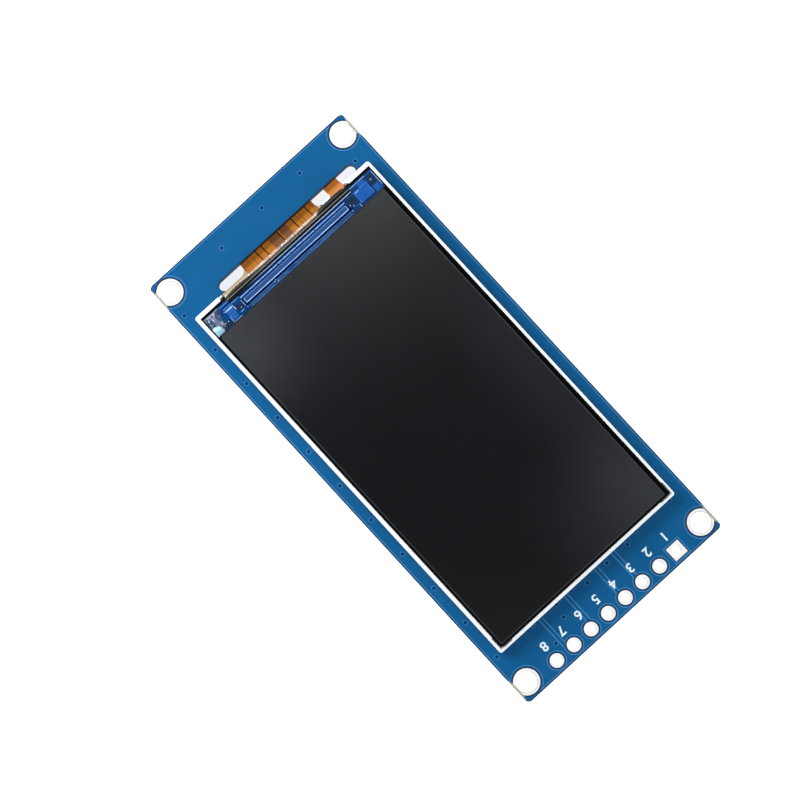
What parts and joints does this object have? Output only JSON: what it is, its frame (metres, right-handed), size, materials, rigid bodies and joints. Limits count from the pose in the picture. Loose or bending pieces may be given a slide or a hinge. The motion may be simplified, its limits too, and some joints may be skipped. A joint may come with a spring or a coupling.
{
  "type": "tft display module",
  "caption": "Small colour display module: bare portrait panel taped to a blue breakout board with corner mounting holes and a row of header holes.",
  "frame": {"origin": "centre of the four mounting holes, on the board's back face", "axes": "+Z out of the display's face, +Y along the board towards the end where the flexes leave the panel, +X to the right seen from the front"},
  "size_m": [0.0288, 0.0618, 0.0043],
  "materials": {
    "solder_mask": "glossy blue solder mask",
    "tinned_copper": "tin-plated copper, smooth",
    "solder": "bright reflowed solder",
    "white_tape": "thin double-sided tape",
    "reflector": "silver-white film",
    "frame_white": "white moulded plastic",
    "clear_acrylic": "clear moulded plate",
    "light_film": "frosted film",
    "shield_black": "black tape",
    "lamp_housing": "white lamp housing",
    "lamp_phosphor": "yellow phosphor",
    "flex_amber": "amber flexible circuit",
    "polarizer_grey": "dark polarizing film",
    "panel_glass": "thin glass over dark metal tracks",
    "silicon": "bare silicon, blue sheen",
    "bond_black": "glossy black bead",
    "clear_sealant": "clear cured silicone",
    "moulded_black": "black moulding compound",
    "capacitor_tan": "tan ceramic",
    "resistor_black": "black glaze on white ceramic"
  },
  "bodies": {
    "root": {"circuit_board": "solder_mask", "mounting_pads": "tinned_copper", "header_pads": "tinned_copper", "mounting_tape": "white_tape", "reflector_film": "reflector", "backlight_frame": "frame_white", "light_guide": "clear_acrylic", "diffuser_film": "light_film", "lower_prism_film": "light_film", "upper_prism_film": "light_film", "light_shield_tape": "shield_black", "backlight_leds": "lamp_housing", "led_windows": "lamp_phosphor", "backlight_flex": "flex_amber", "rear_polarizer": "polarizer_grey", "array_glass": "panel_glass", "colour_filter_glass": "panel_glass", "front_polarizer": "polarizer_grey", "driver_chip": "silicon", "display_flex": "flex_amber", "bond_bead": "bond_black", "corner_sealant": "clear_sealant", "flex_contact_pads": "tinned_copper", "flex_solder_joints": "solder", "regulator_body": "moulded_black", "regulator_leads": "tinned_copper", "backlight_transistor_body": "moulded_black", "backlight_transistor_leads": "tinned_copper", "lead_solder_joints": "solder", "capacitor_bodies": "capacitor_tan", "capacitor_terminals": "tinned_copper", "resistor_bodies": "resistor_black", "resistor_terminals": "tinned_copper", "chip_solder_joints": "solder", "back_part_pads": "tinned_copper"}
  },
  "joints": []
}
